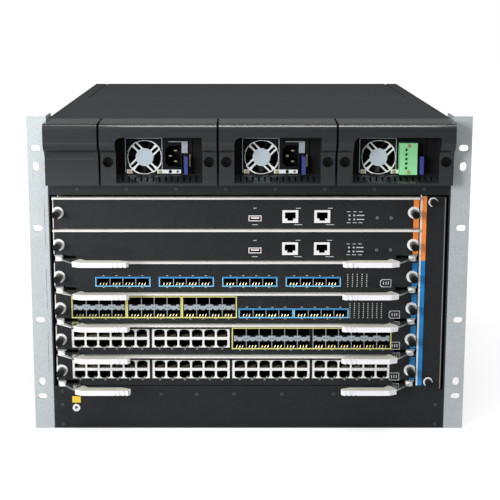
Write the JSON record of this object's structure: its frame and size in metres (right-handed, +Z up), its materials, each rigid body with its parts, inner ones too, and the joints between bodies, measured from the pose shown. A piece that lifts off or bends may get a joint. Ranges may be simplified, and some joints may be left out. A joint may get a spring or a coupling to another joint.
{
  "type": "modular chassis switch",
  "caption": "Rack-mount modular network switch chassis with plug-in supplies behind moulded bezels, line cards with ejector levers, and a side fan tray.",
  "frame": {"origin": "middle of the base's underside", "axes": "+X to the right seen from the front, +Y to the back, +Z up"},
  "size_m": [0.4826, 0.474, 0.3548],
  "materials": {
    "dark_steel": "fine dark grey powder coat",
    "galvanised_steel": "zinc plated, pale and speckled",
    "black_moulding": "satin moulded black plastic",
    "card_steel": "dark grey paint with a bare metal lip",
    "green_board": "solder mask over laminate",
    "supply_case": "pale plated steel",
    "lever_plastic": "warm pale grey moulding on a steel arm",
    "fan_plastic": "black moulded blades",
    "latch_plastic": "blue violet moulding",
    "inlet_plastic": "black moulding with plated blades",
    "terminal_plastic": "light green moulding",
    "label_colour": "orange and blue film",
    "plated_screw": "bright zinc plating",
    "white_nylon": "white moulded socket"
  },
  "bodies": {
    "chassis": {"main_shell": "dark_steel", "rear_wall": "dark_steel", "top_cover": "dark_steel", "rear_top_plate": "dark_steel", "power_shelf": "dark_steel", "lower_front_panel": "dark_steel", "left_rack_ear": "galvanised_steel", "right_rack_ear": "galvanised_steel", "left_card_guide": "galvanised_steel", "fan_bay_wall": "galvanised_steel", "tray_rails": "galvanised_steel", "slot_label_strip": "label_colour", "backplane": "green_board", "power_backplane": "green_board", "earth_socket": "white_nylon", "case_screws": "plated_screw", "blank_bezel": "black_moulding", "power_bezel_1": "black_moulding", "power_bezel_2": "black_moulding", "power_bezel_3": "black_moulding", "bezel_screws": "plated_screw"},
    "supply_1": {"power_supply_1": "supply_case", "supply_inlet_1": "inlet_plastic"},
    "supply_fan_1": {"supply_fan_1": "fan_plastic"},
    "supply_latch_1": {"supply_latch_1": "latch_plastic"},
    "supply_2": {"power_supply_2": "supply_case", "supply_inlet_2": "inlet_plastic"},
    "supply_fan_2": {"supply_fan_2": "fan_plastic"},
    "supply_latch_2": {"supply_latch_2": "latch_plastic"},
    "supply_3": {"power_supply_3": "supply_case", "terminal_block": "terminal_plastic"},
    "supply_fan_3": {"supply_fan_3": "fan_plastic"},
    "supply_latch_3": {"supply_latch_3": "latch_plastic"},
    "fan_tray": {"fan_tray": "dark_steel"},
    "tray_fan_1": {"tray_fan_1": "fan_plastic"},
    "tray_fan_2": {"tray_fan_2": "fan_plastic"},
    "tray_fan_3": {"tray_fan_3": "fan_plastic"},
    "tray_fan_4": {"tray_fan_4": "fan_plastic"},
    "card_1": {"card_1_panel": "card_steel", "card_1_board": "green_board"},
    "card_2": {"card_2_panel": "card_steel", "card_2_board": "green_board"},
    "card_2_left_lever": {"card_2_left_lever": "lever_plastic"},
    "card_2_right_lever": {"card_2_right_lever": "lever_plastic"},
    "card_3": {"card_3_panel": "card_steel", "card_3_board": "green_board"},
    "card_3_left_lever": {"card_3_left_lever": "lever_plastic"},
    "card_3_right_lever": {"card_3_right_lever": "lever_plastic"},
    "card_4": {"card_4_panel": "card_steel", "card_4_board": "green_board"},
    "card_4_left_lever": {"card_4_left_lever": "lever_plastic"},
    "card_4_right_lever": {"card_4_right_lever": "lever_plastic"},
    "card_5": {"card_5_panel": "card_steel", "card_5_board": "green_board"},
    "card_5_left_lever": {"card_5_left_lever": "lever_plastic"},
    "card_5_right_lever": {"card_5_right_lever": "lever_plastic"},
    "card_6": {"card_6_panel": "card_steel", "card_6_board": "green_board"},
    "card_6_left_lever": {"card_6_left_lever": "lever_plastic"},
    "card_6_right_lever": {"card_6_right_lever": "lever_plastic"}
  },
  "joints": [
    {"name": "supply_1_slide", "type": "slide", "parent": "chassis", "child": "supply_1", "axis": [0, -1, 0], "range_m": [0, 0.22]},
    {"name": "supply_1_fan_spin", "type": "hinge", "parent": "supply_1", "child": "supply_fan_1", "pos_m": [-0.11379, -0.2116, 0.31032], "axis": [0, 1, 0], "continuous": true},
    {"name": "supply_1_latch_press", "type": "hinge", "parent": "supply_1", "child": "supply_latch_1", "pos_m": [-0.06949, -0.207, 0.30302], "axis": [0, 0, -1], "range_deg": [0, 6], "stiffness_Nm_per_rad": 0.05},
    {"name": "supply_2_slide", "type": "slide", "parent": "chassis", "child": "supply_2", "axis": [0, -1, 0], "range_m": [0, 0.22]},
    {"name": "supply_2_fan_spin", "type": "hinge", "parent": "supply_2", "child": "supply_fan_2", "pos_m": [0.01324, -0.2116, 0.31032], "axis": [0, 1, 0], "continuous": true},
    {"name": "supply_2_latch_press", "type": "hinge", "parent": "supply_2", "child": "supply_latch_2", "pos_m": [0.05754, -0.207, 0.30302], "axis": [0, 0, -1], "range_deg": [0, 6], "stiffness_Nm_per_rad": 0.05},
    {"name": "supply_3_slide", "type": "slide", "parent": "chassis", "child": "supply_3", "axis": [0, -1, 0], "range_m": [0, 0.22]},
    {"name": "supply_3_fan_spin", "type": "hinge", "parent": "supply_3", "child": "supply_fan_3", "pos_m": [0.14028, -0.2116, 0.31032], "axis": [0, 1, 0], "continuous": true},
    {"name": "supply_3_latch_press", "type": "hinge", "parent": "supply_3", "child": "supply_latch_3", "pos_m": [0.18457, -0.207, 0.30302], "axis": [0, 0, -1], "range_deg": [0, 6], "stiffness_Nm_per_rad": 0.05},
    {"name": "fan_tray_slide", "type": "slide", "parent": "chassis", "child": "fan_tray", "axis": [0, -1, 0], "range_m": [0, 0.22]},
    {"name": "tray_fan_1_spin", "type": "hinge", "parent": "fan_tray", "child": "tray_fan_1", "pos_m": [0.20365, -0.163, 0.11171], "axis": [1, 0, 0], "continuous": true},
    {"name": "tray_fan_2_spin", "type": "hinge", "parent": "fan_tray", "child": "tray_fan_2", "pos_m": [0.20365, -0.069, 0.11171], "axis": [1, 0, 0], "continuous": true},
    {"name": "tray_fan_3_spin", "type": "hinge", "parent": "fan_tray", "child": "tray_fan_3", "pos_m": [0.20365, -0.163, 0.20571], "axis": [1, 0, 0], "continuous": true},
    {"name": "tray_fan_4_spin", "type": "hinge", "parent": "fan_tray", "child": "tray_fan_4", "pos_m": [0.20365, -0.069, 0.20571], "axis": [1, 0, 0], "continuous": true},
    {"name": "card_1_slide", "type": "slide", "parent": "chassis", "child": "card_1", "axis": [0, -1, 0], "range_m": [0, 0.32]},
    {"name": "card_2_slide", "type": "slide", "parent": "chassis", "child": "card_2", "axis": [0, -1, 0], "range_m": [0, 0.32]},
    {"name": "card_2_left_lever_swing", "type": "hinge", "parent": "card_2", "child": "card_2_left_lever", "pos_m": [-0.2095, -0.221, 0.19818], "axis": [0, 0, -1], "range_deg": [0, 45]},
    {"name": "card_2_right_lever_swing", "type": "hinge", "parent": "card_2", "child": "card_2_right_lever", "pos_m": [0.1798, -0.221, 0.19818], "axis": [0, 0, 1], "range_deg": [0, 45]},
    {"name": "card_3_slide", "type": "slide", "parent": "chassis", "child": "card_3", "axis": [0, -1, 0], "range_m": [0, 0.32]},
    {"name": "card_3_left_lever_swing", "type": "hinge", "parent": "card_3", "child": "card_3_left_lever", "pos_m": [-0.2095, -0.221, 0.16211], "axis": [0, 0, -1], "range_deg": [0, 45]},
    {"name": "card_3_right_lever_swing", "type": "hinge", "parent": "card_3", "child": "card_3_right_lever", "pos_m": [0.1798, -0.221, 0.16211], "axis": [0, 0, 1], "range_deg": [0, 45]},
    {"name": "card_4_slide", "type": "slide", "parent": "chassis", "child": "card_4", "axis": [0, -1, 0], "range_m": [0, 0.32]},
    {"name": "card_4_left_lever_swing", "type": "hinge", "parent": "card_4", "child": "card_4_left_lever", "pos_m": [-0.2095, -0.221, 0.12604], "axis": [0, 0, -1], "range_deg": [0, 45]},
    {"name": "card_4_right_lever_swing", "type": "hinge", "parent": "card_4", "child": "card_4_right_lever", "pos_m": [0.1798, -0.221, 0.12604], "axis": [0, 0, 1], "range_deg": [0, 45]},
    {"name": "card_5_slide", "type": "slide", "parent": "chassis", "child": "card_5", "axis": [0, -1, 0], "range_m": [0, 0.32]},
    {"name": "card_5_left_lever_swing", "type": "hinge", "parent": "card_5", "child": "card_5_left_lever", "pos_m": [-0.2095, -0.221, 0.08997], "axis": [0, 0, -1], "range_deg": [0, 45]},
    {"name": "card_5_right_lever_swing", "type": "hinge", "parent": "card_5", "child": "card_5_right_lever", "pos_m": [0.1798, -0.221, 0.08997], "axis": [0, 0, 1], "range_deg": [0, 45]},
    {"name": "card_6_slide", "type": "slide", "parent": "chassis", "child": "card_6", "axis": [0, -1, 0], "range_m": [0, 0.32]},
    {"name": "card_6_left_lever_swing", "type": "hinge", "parent": "card_6", "child": "card_6_left_lever", "pos_m": [-0.2095, -0.221, 0.0539], "axis": [0, 0, -1], "range_deg": [0, 45]},
    {"name": "card_6_right_lever_swing", "type": "hinge", "parent": "card_6", "child": "card_6_right_lever", "pos_m": [0.1798, -0.221, 0.0539], "axis": [0, 0, 1], "range_deg": [0, 45]}
  ]
}
